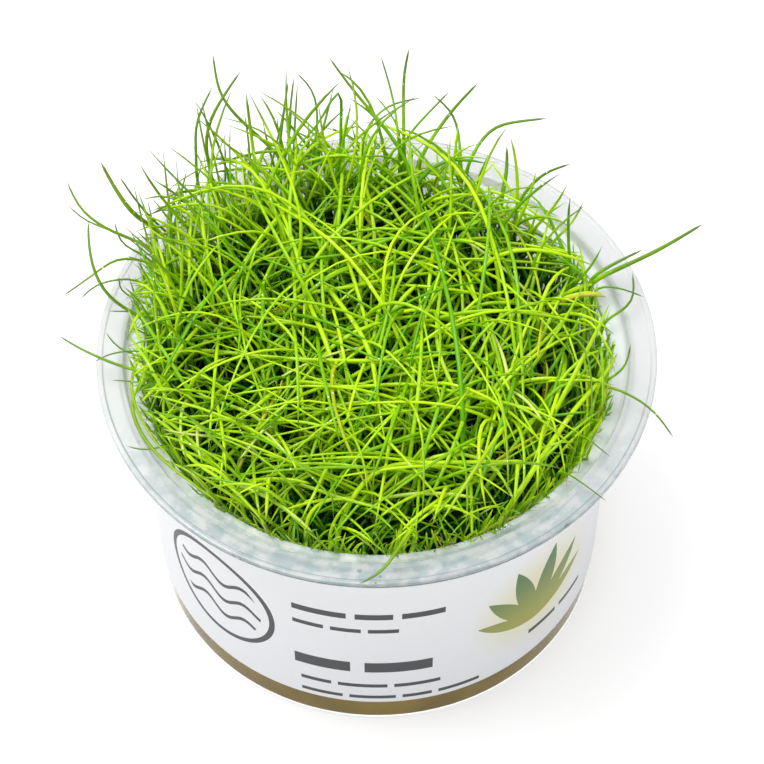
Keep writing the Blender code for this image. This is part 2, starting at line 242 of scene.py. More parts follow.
# Long stray blades: the width of each, and the points that it passes from the mat to its tip
STRAYS = (
    (0.75, (-16, 37, 62), (-19, 38, 66), (-24, 40, 71), (-27, 42, 75), (-28, 46, 81)),
    (0.7, (-29, 32, 68), (-29, 35, 74), (-26, 38, 79), (-23, 41, 82)),
    (0.65, (-31, 30, 65), (-31, 33, 69), (-31, 36, 74), (-28, 41, 78)),
    (0.6, (-17, 37, 62), (-16, 40, 71), (-15, 44, 76)),
    (0.55, (-15, 32, 60), (-15, 34, 64), (-15, 38, 71), (-14, 43, 78)),
    (0.5, (-11, 37, 62), (-10, 41, 70), (-11, 44, 74), (-14, 46, 76)),
    (0.6, (-6, 38, 65), (-6, 39, 70), (-6, 41, 78), (-10, 37, 72), (-15, 35, 67)),
    (0.75, (5, 38, 62), (1, 40, 69), (-4, 42, 76), (-8, 45, 81)),
    (0.5, (4, 38, 68), (3, 43, 73), (1, 47, 79)),
    (0.7, (5, 38, 65), (5, 44, 76), (6, 46, 82)),
    (0.5, (-2, 39, 67), (2, 43, 70), (8, 44, 71)),
    (0.5, (4, 39, 69), (0, 43, 73)),
    (0.5, (5, 38, 66), (13, 43, 74)),
    (0.6, (15, 36, 62), (14, 42, 68), (10, 44, 72)),
    (0.7, (8, 38, 62), (13, 42, 69), (18, 44, 75)),
    (0.65, (16, 35, 63), (20, 40, 67), (24, 40, 69), (30, 40, 70)),
    (0.5, (18, 35, 60), (22, 39, 67)),
    (0.9, (22, 32, 57), (23, 35, 62), (23, 38, 65)),
    (0.65, (25, 31, 58), (29, 33, 63), (34, 33, 66)),
    (0.6, (30, 21, 58), (34, 23, 62), (36, 26, 64)),
    (0.85, (37, 13, 58), (48, 15, 64), (56, 17, 69)),
    (0.7, (37, 14, 58), (43, 16, 61), (46, 17, 62)),
    (0.55, (39, 6, 56), (44, 8, 59), (44, 12, 62)),
    (0.5, (38, 12, 58), (42, 11, 59), (46, 9, 59)),
    (1.1, (-35, 21, 58), (-39, 23, 62), (-42, 22, 67), (-45, 24, 72), (-47, 26, 76)),
    (0.6, (-35, 23, 58), (-39, 24, 63), (-42, 25, 68), (-44, 26, 72)),
    (0.7, (-38, 19, 60), (-46, 19, 66), (-49, 20, 68), (-51, 21, 70), (-53, 25, 72)),
    (0.5, (-40, 18, 63), (-50, 21, 66), (-53, 23, 68)),
    (0.75, (-39, 5, 58), (-45, 6, 63), (-48, 9, 67), (-49, 14, 70), (-49, 17, 71)),
    (0.65, (-38, 16, 60), (-44, 16, 62), (-47, 13, 63), (-50, 11, 62), (-54, 10, 59)),
    (0.55, (-41, 12, 61), (-48, 11, 61), (-51, 10, 58)),
    (0.55, (-40, 18, 60), (-44, 19, 62), (-45, 21, 66)),
    (0.7, (-38, -7, 59), (-43, -6, 60), (-50, -3, 61), (-54, 0, 61)),
    (0.55, (-39, -3, 58), (-44, -2, 60), (-46, 0, 62)),
    (0.5, (-39, -2, 59), (-45, -3, 60), (-48, -5, 60)),
    (0.5, (-39, -8, 58), (-45, -8, 59)),
    (0.5, (-40, 10, 57), (-44, 11, 59), (-44, 11, 63)),
    (0.5, (-40, 7, 58), (-46, 6, 60)),
    (0.6, (38, -9, 58), (43, -12, 59), (47, -15, 58), (50, -18, 55)),
    (0.55, (38, -8, 57), (42, -7, 60), (43, -4, 63)),
    (0.5, (34, -19, 58), (39, -24, 58)),
    (0.5, (31, -26, 57), (36, -31, 58), (38, -33, 58)),
    (0.8, (6, -39, 60), (2, -46, 60), (0, -48, 59), (-3, -49, 58)),
    (0.5, (-34, -20, 57), (-39, -22, 58), (-42, -21, 58)),
)
STRAY_SECTIONS = 36
STRAY_WIDENING = 1.05
STRAY_TINTS = (0, 0.7)
STRAY_WALL_GAP = 1  # how far inside the wall a stray passes the rim
STRAY_DIP = 3  # and how far below its first point
STRAY_RIM_DEPTH = 2  # or at least this far below the rim
STRAY_BEND = (0.4, 32)  # share of the way to the rim where it bends, and the height
LONG_ROOT_SPREAD = 2  # how far from the tuft's middle the long blades stand

# The longest blades that lie over the mat: the width of each, how pale it is, and its points
MAT_BLADES = (
    (0.95, 0, (-17, -12, 62), (-19, -15, 62), (-22, -17, 61), (-26, -20, 60), (-30, -22, 59)),
    (0.8, 0.2, (-19, -18, 61), (-24, -15, 61), (-29, -13, 60), (-32, -10, 60), (-36, -5, 59)),
    (0.8, 0, (-15, 6, 62), (-20, 6, 62), (-25, 6, 61), (-30, 4, 61), (-36, 3, 59)),
    (0.95, 0, (-8, -5, 63), (-10, 1, 63), (-12, 7, 62), (-13, 13, 62), (-15, 19, 62)),
    (0.9, 0, (0, -14, 63), (0, -9, 63), (-2, -3, 64), (-8, 8, 63), (-12, 14, 62), (-22, 26, 60)),
    (0.8, 0, (-25, 9, 61), (-23, 15, 61), (-20, 19, 61), (-15, 24, 61), (-8, 28, 61)),
    (0.75, 0, (-4, 19, 62), (0, 21, 62), (4, 25, 61), (7, 28, 61)),
    (0.8, 0.1, (13, -12, 62), (10, -6, 63), (10, -1, 63), (11, 8, 63), (12, 15, 62), (12, 23, 61)),
    (0.85, 0, (-32, -2, 60), (-25, -4, 61), (-15, -6, 62), (-6, -8, 64), (7, -7, 63), (17, -4, 62)),
    (0.75, 0, (-27, -12, 61), (-21, -9, 62), (-17, -6, 62), (-13, -6, 62)),
    (0.85, 0, (-13, -10, 62), (-5, -13, 62), (1, -12, 63), (7, -12, 63), (21, -15, 61), (30, -16, 60)),
    (0.7, 0.1, (-8, -16, 62), (1, -15, 62), (4, -16, 62), (8, -20, 62), (11, -25, 61)),
    (0.9, 0, (-5, -34, 59), (-2, -30, 61), (1, -27, 61), (5, -27, 61), (15, -27, 61), (25, -26, 60)),
    (0.85, 0.1, (-20, -29, 60), (-14, -30, 60), (-9, -32, 60), (-5, -34, 60), (0, -35, 60), (3, -36, 59)),
    (0.7, 0, (0, 1, 63), (6, 4, 63), (11, 3, 63), (16, 2, 62), (20, 0, 62)),
    (0.95, 0, (23, -32, 58), (27, -26, 60), (30, -21, 60), (34, -14, 60), (38, -9, 59), (41, -3, 59)),
    (0.8, 1, (22, -9, 62), (21, -4, 62), (19, 1, 62)),
    (0.75, 0.1, (21, -10, 62), (26, -5, 61), (30, 0, 61), (34, 6, 60)),
    (0.75, 0, (21, -9, 62), (23, -14, 61), (26, -20, 60), (28, -24, 60)),
    (0.75, 0.2, (8, -26, 61), (14, -25, 61), (19, -26, 60), (22, -31, 59), (23, -33, 57)),
    (0.75, 0, (18, 6, 62), (25, 6, 61), (31, 7, 60), (39, 7, 59)),
    (0.75, 0, (-13, 8, 62), (-6, 8, 63), (-2, 9, 63), (4, 11, 63), (9, 12, 62), (15, 13, 62)),
    (0.8, 0, (-12, -37, 54), (-12, -36, 57), (-11, -34, 59), (-7, -33, 60), (-3, -34, 60)),
    (0.75, 0, (-8, -38, 54), (-8, -37, 57), (-6, -35, 59), (-4, -33, 60)),
    (0.7, 0.9, (-22, -23, 62), (-27, -22, 62), (-32, -21, 61), (-36, -19, 60)),
    (0.7, 0.9, (-18, -20, 63), (-20, -23, 63), (-22, -26, 62), (-23, -27, 62)),
    (0.75, 0.9, (-19, -21, 63), (-17, -24, 63), (-15, -26, 63), (-13, -29, 62)),
    (0.7, 0.7, (-30, -18, 62), (-30, -20, 62), (-30, -25, 61), (-29, -27, 61)),
    (0.7, 0.5, (-32, -13, 61), (-33, -16, 61), (-33, -20, 60), (-32, -25, 60)),
    (0.65, 0, (-38, -5, 57), (-42, -10, 58), (-41, -16, 58), (-39, -20, 58), (-36, -24, 58), (-26, -33, 58)),
    (0.6, 0, (-38, 2, 57), (-41, -3, 58), (-42, -9, 58), (-40, -15, 58), (-37, -21, 58), (-34, -24, 58)),
    (0.85, 0, (-33, -18, 58), (-33, -23, 59), (-29, -27, 60), (-25, -30, 60), (-21, -34, 59), (-18, -38, 58)),
)
MAT_TINTS = (0.5, 0.9)
MAT_RUN_UP = 0.8  # how far before its first point a blade comes up, in steps of its points
MAT_DIP = 9  # and how far below that point
MAT_WALL_GAP = 1.5
MAT_BEND = (0.5, 34)
ROUTE_STEP = 0.05  # share of a span between the points of a route's first curve
ROUTE_POINTS = 80
ROUTE_CROWDING = 0.75  # below 1, sections lie closer together towards the end
ROUTE_SMOOTHINGS = 9  # passes that round the bends at a route's points
MAT_SMOOTHINGS = 24

# Colours of the grass by height and distance from the axis, with painted shade deep in the mat and on blades
# that stand clear against the light: where each change starts and ends
SLOPE_OF_THE_MAT = (-0.05, 0.07, 0)  # how the heights rise towards the wild side
DEEP_SHADE_FADES = (30, 50)
HALF_SHADE_FADES = (51, 64)
STANDS_CLEAR = (65, 75)
OFF_THE_MAT = (26, 38)  # high blades stand clear only from here outwards
PAST_THE_WALL = (40, 44)
LIT_RIM = (34, 39)
LIT_RIM_RISE = 9  # blades by the wall are lit as if they were this much higher

# Studio, in metres
SKY_STRENGTH = 0.55
KEY_PLACE = Vector((-0.25, 0.05, 0.75))
KEY_SIZE = 0.5
KEY_POWER = 5.2  # in watts
FLOOR_HALF_WIDTH = 3
FLOOR_WHITE = 0.5
FLOOR_GLOW = 0.65


def new_object(name, data):
    """Puts a mesh, a lamp or a lens in the scene."""
    thing = bpy.data.objects.new(name, data)
    bpy.context.scene.collection.objects.link(thing)
    return thing


def mesh_object(name, mesh, material, replaced):
    """Puts a mesh in the scene as one piece of the object."""
    mesh.materials.append(material)
    piece = new_object(name, mesh)
    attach(piece, "root")
    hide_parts(*replaced)


def polar(radius, angle, z):
    return Vector((radius * math.cos(angle), radius * math.sin(angle), z))


def wall_radius(z):
    """Outside radius of the cup's wall at a height, for numbers or arrays."""
    share = (z - HEEL) / (SHOULDER_Z - HEEL)
    return BASE_RADIUS + share * (SHOULDER_RADIUS - BASE_RADIUS)


# Materials


class Nodes:
    """Short calls that build a material's node tree."""

    def __init__(self, name):
        self.material = bpy.data.materials.new(name)
        self.material.use_nodes = True
        self.tree = self.material.node_tree
        self.shader = self.tree.nodes["Principled BSDF"]
        self.place = self.add("ShaderNodeTexCoord").outputs["Object"]  # on the piece, in metres
        self.x, self.y, self.z = self.add("ShaderNodeSeparateXYZ", self.place).outputs

    def add(self, kind, *inputs, **values):
        """A node with its settings, and its first sockets linked to or set to the inputs."""
        node = self.tree.nodes.new(kind)
        for key, value in values.items():
            setattr(node, key, value)
        for socket, value in zip(node.inputs, inputs):
            self.link(socket, value)
        return node

    def link(self, socket, value):
        if isinstance(value, bpy.types.NodeSocket):
            self.tree.links.new(value, socket)
        else:
            socket.default_value = value

    def math(self, operation, *values):
        return self.add("ShaderNodeMath", *values, operation=operation).outputs[0]

    def times(self, first, second):
        return self.math("MULTIPLY", first, second)

    def times_plus(self, first, second, third):
        return self.math("MULTIPLY_ADD", first, second, third)

    def measure(self, operation, first, second):
        """A number from two vectors."""
        return self.add("ShaderNodeVectorMath", first, second, operation=operation).outputs["Value"]

    def from_axis(self):
        """The distance from the cup's axis."""
        return self.math("SQRT", self.times_plus(self.x, self.x, self.times(self.y, self.y)))

    def mix(self, factor, first, second):
        """A mix of two colours."""
        node = self.add("ShaderNodeMix", factor, data_type="RGBA")
        self.link(node.inputs[6], first)
        self.link(node.inputs[7], second)
        return node.outputs[2]

    def tinted(self, first, mask, strength, second):
        """The first colour with some of the second where the mask is 1."""
        return self.mix(self.times(mask, strength), first, second)

    def ramp(self, value, low, high):
        """0 at low, 1 at high, smooth between them."""
        return self.add("ShaderNodeMapRange", value, low, high, interpolation_type="SMOOTHSTEP").outputs[0]

    def ramp_mm(self, value, low, high):
        return self.ramp(value, low * MM, high * MM)

    def dots(self, scale, radius):
        """1 inside small round dots. The radius is a share of the space between them."""
        node = self.add("ShaderNodeTexVoronoi", self.place)
        node.inputs["Scale"].default_value = scale
        return self.math("LESS_THAN", node.outputs["Distance"], radius)

    def noise(self, scale, detail=2.0):
        node = self.add("ShaderNodeTexNoise", self.place)
        node.inputs["Scale"].default_value = scale
        node.inputs["Detail"].default_value = detail
        return node.outputs["Fac"]

    def bump(self, height, strength, distance):
        node = self.add("ShaderNodeBump")
        node.inputs["Strength"].default_value = strength
        node.inputs["Distance"].default_value = distance
        self.link(node.inputs["Height"], height)
        self.link(self.shader.inputs["Normal"], node.outputs["Normal"])

    def finish(self, **values):
        """Sets or links the shader's sockets, named in small letters, and gives the material."""
        sockets = {socket.name.lower().replace(" ", "_"): socket for socket in self.shader.inputs}
        for key, value in values.items():
            self.link(sockets[key], value)
        return self.material


def colour(red, green, blue):
    """A colour given as it looks on the screen, from 0 to 255, as linear light."""
    return tuple((part / 255) ** 2.2 for part in (red, green, blue)) + (1.0,)


def grass_material():
    """Yellow-green blades, with some pale and brown ones. Painted shade makes them dark low down in the mat
    and olive where they stand clear against the light. Small pale specks on them are painted highlights.
    """
    nodes = Nodes("grass")
    attribute = nodes.add("ShaderNodeAttribute", attribute_name="blade")
    along, tint, pale = nodes.add("ShaderNodeSeparateColor", attribute.outputs["Color"]).outputs
    brown = attribute.outputs["Alpha"]
    height = nodes.math("SUBTRACT", nodes.z, nodes.measure("DOT_PRODUCT", nodes.place, SLOPE_OF_THE_MAT))
    away = nodes.from_axis()
    mottled = nodes.times_plus(nodes.noise(scale=900.0), 0.5, tint)
    fresh = nodes.mix(nodes.ramp(mottled, 0.2, 1.2), colour(100, 175, 0), colour(208, 248, 28))
    middle = nodes.mix(tint, colour(18, 80, 0), colour(56, 134, 0))
    lit_rim = nodes.times(nodes.ramp_mm(away, *LIT_RIM), LIT_RIM_RISE * MM)
    light = nodes.math("ADD", height, lit_rim)
    # Painted shade: the lower a blade is in the mat, the darker its green, from near black deep down through
    # half shade to the fresh colour at the top
    green = nodes.mix(nodes.ramp_mm(light, *DEEP_SHADE_FADES), colour(3, 30, 2), middle)
    green = nodes.mix(nodes.ramp_mm(light, *HALF_SHADE_FADES), green, fresh)
    # Painted shade: blades that stand clear of the mat, high up or past the wall, are tinted olive as if seen
    # against the light
    above = nodes.times(nodes.ramp_mm(height, *STANDS_CLEAR), nodes.ramp_mm(away, *OFF_THE_MAT))
    clear = nodes.math("MAXIMUM", above, nodes.ramp_mm(away, *PAST_THE_WALL))
    green = nodes.tinted(green, clear, 0.7, colour(82, 122, 10))
    dry_tip = nodes.times(nodes.ramp(along, 0.9, 1.0), clear)
    green = nodes.tinted(green, dry_tip, 0.7, colour(96, 108, 60))
    green = nodes.mix(pale, green, colour(226, 234, 130))
    green = nodes.tinted(green, brown, 0.75, colour(206, 172, 50))
    # Painted highlights: small pale specks that stand for glints on the wet blades
    green = nodes.mix(nodes.dots(scale=620.0, radius=0.1), green, colour(244, 250, 214))
    nodes.bump(nodes.noise(scale=2500.0), strength=0.15, distance=0.1 * MM)
    return nodes.finish(base_color=green, roughness=0.35, specular_ior_level=0.36)


def flange_material():
    """Milky clear plastic, with smears and tiny drops of condensation in front. Painted shade darkens the
    smears, a painted shadow lines the lip's lower edge in front, a painted shade line runs along the bead's
    foot, and painted light whitens the lid seat away from the front.
    """
    nodes = Nodes("flange_plastic")
    away = nodes.from_axis()
    haze = nodes.times_plus(nodes.noise(scale=120.0, detail=4.0), 0.2, 0.06)
    wet_side = nodes.ramp_mm(nodes.y, *WET_FRONT)
    # Condensation smears in front, tinted grey-blue as painted shade that darkens the front of the flange
    smears_and_shade = nodes.ramp(nodes.noise(scale=400.0, detail=4.0), 0.62, 0.4)
    tint = nodes.mix(nodes.times(smears_and_shade, wet_side), colour(238, 239, 241), colour(202, 215, 218))
    drop_size = nodes.times(nodes.ramp(nodes.noise(scale=150.0), 0.45, 0.68), 0.22)
    drops = nodes.times(nodes.dots(scale=380.0, radius=drop_size), wet_side)
    tint = nodes.tinted(tint, drops, 0.6, colour(120, 134, 138))
    ripples = nodes.times(nodes.noise(scale=420.0, detail=3.0), wet_side)
    nodes.bump(nodes.math("ADD", ripples, drops), strength=0.3, distance=0.25 * MM)
    # Painted shadow: a dark line along the lower outer edge of the flange in front, where it overhangs the
    # sleeve
    lip_shadow = nodes.times(nodes.ramp_mm(away, *LIP_SHADOW_OUT), nodes.ramp_mm(nodes.z, *LIP_SHADOW_DOWN))
    lip_shadow = nodes.times(lip_shadow, nodes.ramp_mm(nodes.y, *LIP_SHADOW_FRONT))
    tint = nodes.tinted(tint, lip_shadow, 0.9, colour(64, 78, 70))
    # Painted shade: a grey line in the crease at the foot of the bead, strongest in front
    bead_foot_shade = nodes.math("COMPARE", away, (FLANGE_RADIUS - BEAD_WIDTH) * MM, BEAD_LINE * MM)
    bead_foot_shade = nodes.times(bead_foot_shade, nodes.ramp_mm(nodes.y, *BEAD_FRONT))
    tint = nodes.tinted(tint, bead_foot_shade, 0.5, colour(140, 148, 150))
    seat = nodes.ramp_mm(away, *SEAT_HAZE_AND_LIGHT)
    clearness = nodes.times_plus(wet_side, 0.15, 0.45)
    clearness = nodes.times_plus(seat, -0.38, clearness)
    # Painted light: the lid seat is whiter away from the front, besides being milkier all round
    dry_side = nodes.math("SUBTRACT", 1.0, wet_side)
    tint = nodes.mix(nodes.times(seat, dry_side), tint, colour(246, 250, 255))
    return nodes.finish(base_color=tint, roughness=haze, transmission_weight=clearness, ior=1.46)


def wall_material():
    """Clear plastic with a faint haze, milky where the sleeve's white shows through it.

    It has little bend, as the gel lies against it and takes its reflections. Its faint glow in front of the
    sleeve stands for the daylight that the thin white sleeve lets through.
    """
    nodes = Nodes("wall_plastic")
    haze = nodes.times_plus(nodes.noise(scale=90.0, detail=4.0), 0.08, 0.02)
    tint = nodes.mix(nodes.noise(scale=60.0), colour(246, 250, 250), colour(252, 253, 253))
    nodes.bump(nodes.noise(scale=200.0), strength=0.1, distance=0.1 * MM)
    less_at_the_back = nodes.times_plus(nodes.ramp_mm(nodes.y, *SLEEVE_BACK), -0.5, 1.0)
    milky = nodes.times(less_at_the_back, nodes.ramp_mm(nodes.z, *SLEEVE_SHOWS))
    clearness = nodes.times_plus(milky, -0.6, 0.98)
    nodes.finish(emission_color=WHITE, emission_strength=nodes.times(milky, SLEEVE_GLOW))
    return nodes.finish(base_color=tint, roughness=haze, transmission_weight=clearness, ior=1.08)


def print_coordinates(nodes):
    """The vector (u, v, 0) in millimetres, and u and v."""
    turn = nodes.math("ARCTAN2", nodes.x, nodes.times(nodes.y, -1.0))
    u = nodes.times(turn, LABEL_RADIUS)
    v = nodes.math("DIVIDE", nodes.z, MM)
    return nodes.add("ShaderNodeCombineXYZ", u, v).outputs[0], u, v


def bars_mask(nodes, u, v):
    """1 on the plain bars that stand for lines of words."""
    mask = 0.0
    for bottom, top, *bars in PRINT_ROWS:
        upright = nodes.math("COMPARE", v, (bottom + top) / 2, (top - bottom) / 2)
        for left, right in bars:
            across = nodes.math("COMPARE", u, (left + right) / 2, (right - left) / 2)
            mask = nodes.times_plus(across, upright, mask)
    return mask


def badge_mask(nodes, spot, u, v):
    """1 on a ring with three wavy lines in it."""
    middle_u, middle_v = BADGE_MIDDLE
    away = nodes.measure("DISTANCE", spot, (middle_u, middle_v, 0))
    mask = nodes.math("COMPARE", away, BADGE_RADIUS, BADGE_LINE)
    is_inside = nodes.math("LESS_THAN", away, BADGE_RADIUS - 4 * BADGE_LINE)
    wave = nodes.math("SINE", nodes.times(u, TURN / WAVE_LENGTH))
    level = nodes.times_plus(wave, -WAVE_SWING, v)
    for height in WAVE_HEIGHTS:
        line = nodes.math("COMPARE", level, middle_v + height, BADGE_LINE)
        mask = nodes.times_plus(line, is_inside, mask)
    return mask


def leaves_mask(nodes, spot):
    """1 on a fan of pointed leaves."""
    foot = (*LEAF_FOOT, 0)
    from_foot = nodes.add("ShaderNodeVectorMath", spot, foot, operation="SUBTRACT").outputs[0]
    mask = 0.0
    for degrees, length, half_width in LEAVES:
        sine = math.sin(math.radians(degrees))
        cosine = math.cos(math.radians(degrees))
        along = nodes.measure("DOT_PRODUCT", from_foot, (sine / length, cosine / length, 0))
        off = nodes.math("ABSOLUTE", nodes.measure("DOT_PRODUCT", from_foot, (cosine, -sine, 0)))
        swell = nodes.times(along, nodes.math("SUBTRACT", 1.0, along))
        leaf = nodes.math("LESS_THAN", off, nodes.times(swell, 4 * half_width))
        mask = nodes.math("MAXIMUM", mask, leaf)
    return mask


def label_material():
    """White satin sleeve with plain bars and simple shapes in place of any words or pictures. Painted shade
    makes its white darker towards the bottom.
    """
    nodes = Nodes("label_white")
    spot, u, v = print_coordinates(nodes)
    grain = nodes.noise(scale=1500.0)
    # Painted shade: the sleeve's white is darker towards the bottom, away from the light above
    low = nodes.mix(grain, colour(225, 226, 230), colour(229, 230, 233))
    high = nodes.mix(grain, colour(236, 237, 239), colour(240, 241, 243))
    paper = nodes.mix(nodes.ramp(v, LABEL_BOTTOM_Z, LABEL_TOP_Z), low, high)
    foot_u, foot_v = LEAF_FOOT
    away = nodes.measure("DISTANCE", spot, (foot_u + LEAF_WASH[0], foot_v + LEAF_WASH[1], 0))
    wash = nodes.ramp(away, *LEAF_WASH_REACH)
    paper = nodes.tinted(paper, wash, 0.5, colour(214, 208, 92))
    leaf = nodes.mix(nodes.ramp(v, foot_v, foot_v + LEAF_TOP), colour(150, 152, 48), colour(70, 112, 58))
    paper = nodes.mix(leaves_mask(nodes, spot), paper, leaf)
    ink = nodes.math("MAXIMUM", bars_mask(nodes, u, v), badge_mask(nodes, spot, u, v))
    paper = nodes.mix(ink, paper, colour(46, 49, 51))
    seam = nodes.math("COMPARE", u, SEAM_U, SEAM_HALF_WIDTH)
    paper = nodes.tinted(paper, seam, 0.5, colour(150, 152, 158))
    nodes.bump(nodes.noise(scale=60.0), strength=0.1, distance=0.3 * MM)
    return nodes.finish(base_color=paper, roughness=0.42)


def gel_material():
    """Cloudy tan gel."""
    nodes = Nodes("tan_gel")
    cloud = nodes.noise(scale=90.0, detail=4.0)
    tan = nodes.mix(nodes.ramp(cloud, 0.3, 0.7), colour(122, 97, 20), colour(150, 123, 38))
    nodes.bump(nodes.noise(scale=400.0), strength=0.3, distance=0.3 * MM)
    return nodes.finish(base_color=tan, roughness=0.3, specular_ior_level=0.05)


# Grass


def radius_of(points):
    """How far points are from the cup's axis."""
    return np.hypot(points[..., 0], points[..., 1])


def within(points, limit):
    """The points, moved straight towards the axis where they are farther from it than the limit."""
    moved = np.array(points, float)
    moved[..., :2] *= np.minimum(1, limit / np.maximum(radius_of(moved), 1))[..., None]
    return moved


def on_bearing(bearing):
    """The directions in plan that have these bearings."""
    return np.column_stack([np.cos(bearing), np.sin(bearing)])


def frames_along(paths):
    """Two directions square to each path at each of its points, carried along without twist."""
    ahead = np.gradient(paths, axis=1)
    ahead /= np.linalg.norm(ahead, axis=2, keepdims=True)
    side = np.cross(ahead[:, 0], ANY_DIRECTION)
    sides = np.empty_like(paths)
    for i in range(paths.shape[1]):
        side = side - ahead[:, i] * np.sum(side * ahead[:, i], axis=1, keepdims=True)
        side /= np.linalg.norm(side, axis=1, keepdims=True)
        sides[:, i] = side
    return sides, np.cross(ahead, sides)


def blade_arrays(paths, widths, along, traits):
    """Closed tapered tubes round the paths: points, quads, triangles and the colour data of each point."""
    count, sections = paths.shape[:2]
    sides = BLADE_SIDES
    one, other = frames_along(paths)
    angles = np.arange(sides) * TURN / sides
    ring = np.cos(angles)[:, None] * one[:, 1:-1, None]
    ring = ring + BLADE_FLATNESS * np.sin(angles)[:, None] * other[:, 1:-1, None]
    rings = paths[:, 1:-1, None] + widths[:, 1:-1, None, None] / 2 * ring
    points = np.concatenate([rings.reshape(count, -1, 3), paths[:, :1], paths[:, -1:]], axis=1)
    each = points.shape[1]
    start = (np.arange(count) * each)[:, None]
    index = np.arange((sections - 2) * sides).reshape(-1, sides)
    after = np.roll(index, -1, axis=1)
    quads = np.stack([index[:-1], after[:-1], after[1:], index[1:]], axis=-1).reshape(-1, 4)
    foot = np.stack([after[0], index[0], np.full(sides, each - 2)], axis=-1)
    tip = np.stack([index[-1], after[-1], np.full(sides, each - 1)], axis=-1)
    triangles = np.concatenate([foot, tip])
    quads = (start[:, :, None] + quads).reshape(-1, 4)
    triangles = (start[:, :, None] + triangles).reshape(-1, 3)
    data = np.empty((count, each, 4))
    data[:, :, 0] = np.concatenate([np.repeat(along[1:-1], sides), along[:1], along[-1:]])
    data[:, :, 1:] = traits[:, None]
    return points.reshape(-1, 3), quads, triangles, data.reshape(-1, 4)


def mesh_of_blades(name, batches):
    """One mesh from several batches of blades."""
    starts = np.cumsum([0] + [len(batch[0]) for batch in batches[:-1]])
    faces = []
    for corners in (1, 2):
        for batch, start in zip(batches, starts):
            faces += (batch[corners] + start).tolist()
    mesh = bpy.data.meshes.new(name)
    mesh.from_pydata(np.concatenate([batch[0] for batch in batches]) * MM, [], faces)
    mesh.shade_smooth()
    attribute = mesh.attributes.new("blade", "FLOAT_COLOR", "POINT")
    data = np.concatenate([batch[3] for batch in batches])
    attribute.data.foreach_set("color", data.astype(np.float32).ravel())
    mesh.validate()
    return mesh


def curves(first, second, third, last, shares):
    """Points on the cubic curves with these four control points, at shares of the way from 0 to 1."""
    first, second, third, last = (point[:, None] for point in (first, second, third, last))
    there = shares[:, None]
    left = 1 - there
    return first * left**3 + 3 * second * there * left**2 + 3 * third * there**2 * left + last * there**3


def wildness(bearing):
    """1 at the back left, where the grass is longest, 0 at the front right."""
    return 0.5 + 0.5 * np.cos(bearing - WILD_BEARING)


def bareness(bearing):
    """1 at the back right, where the rim is bare, 0 far from there."""
    return np.clip(np.cos(bearing - BARE_BEARING), 0, 1) ** BARE_FOCUS


def overhang(bearing):
    """How far blades lean out over the lid seat: fully in front and at the left, hardly at the right."""
    left = np.maximum(-np.cos(bearing), 0)
    return np.clip(OVERHANG - OVERHANG_FRONT * np.sin(bearing) + OVERHANG_LEFT * left, 0, 1)


def inner_limit(z):
    """How far from the axis the middle of a blade may be inside the cup, at a height."""
    return wall_radius(np.minimum(z, SHOULDER_Z)) - WALL - WALL_GAP


def keep_inside(paths):
    """Moves points that would be in the wall, the lid seat or the flange inwards."""
    z = paths[:, :, 2]
    inside = inner_limit(z)
    over_seat = np.clip((z - SEAT_Z - SEAT_GAP) / SEAT_EASE, 0, 1)
    over_flange = np.clip((z - CUP_HEIGHT) / RIM_GAP, 0, 1)
    limit = inside + over_seat * (SEAT_RADIUS - WALL_GAP - inside) + over_flange * FLANGE_RADIUS
    return within(paths, limit)


def tip_limit(tips, top):
    """How far from the axis each tip may be."""
    bearing = np.arctan2(tips[:, 1], tips[:, 0])
    inside = inner_limit(top)
    lean_out = overhang(bearing) * (SEAT_RADIUS - WALL_GAP - inside)
    spill = SPILL_RADIUS + SPILL_WILD * wildness(bearing) ** SPILL_FOCUS - BARE_GAP * bareness(bearing)
    over_rim = np.maximum(spill, inside + lean_out)
    over_seat = inside + lean_out * (top > SEAT_Z + SEAT_TIP_GAP)
    return np.where(top > CUP_HEIGHT + RIM_GAP, over_rim, over_seat)


def ceiling(tips):
    """How high tips may be: little above the mat over its middle, and as high as the longest at the wall."""
    share = np.clip((radius_of(tips) - CEILING_START) / CEILING_RUN, 0, 1)
    return MIDDLE_CEILING + (WALL_CEILING - MIDDLE_CEILING) * share


def pick_tips(dice, roots, reach, top, heading):
    """Where the blades end, in plan. Those that would pass the limit turn away from it and are shorter."""
    for _ in range(TIP_TRIES):
        tips = roots[:, :2] + reach[:, None] * on_bearing(heading)
        tips += reach[:, None] / LEAN_REACH * np.array(LEAN)
        is_over = radius_of(tips) > tip_limit(tips, top)
        heading = np.where(is_over, heading + dice.normal(0, 1, len(reach)), heading)
        reach = np.where(is_over, reach * TIP_SHORTENING, reach)
    return within(tips, tip_limit(tips, top))


def arcs(dice, roots, tips, top, slope, hold, sections):
    """Blades that rise steeply from their roots and end at the given slope."""
    count = len(roots)
    rise = top - roots[:, 2]
    lean = tips - roots[:, :2]
    swing = np.arctan2(lean[:, 1], lean[:, 0]) + dice.normal(0, ARC_SWING, count)
    back = np.column_stack([on_bearing(swing) * np.cos(slope)[:, None], np.sin(slope)])
    pull = np.hypot(radius_of(lean), ARC_RISE_SHARE * rise) * hold
    last = np.column_stack([tips, top])
    third = last - back * pull[:, None]
    third[:, 2] = np.minimum(third[:, 2], top + ARCH_RISE)
    third = within(third, MOUTH_RADIUS - 2 * WALL_GAP)
    second = roots + np.column_stack([lean * FOOT_LEAN, rise * dice.uniform(*FOOT_RISE, count)])
    return curves(roots, second, third, last, np.linspace(0, 1, sections))


def on_gel(points):
    """Points in plan, as feet of blades in the gel."""
    return np.column_stack([points, np.full(len(points), GEL_TOP_Z - ROOT_DEPTH)])


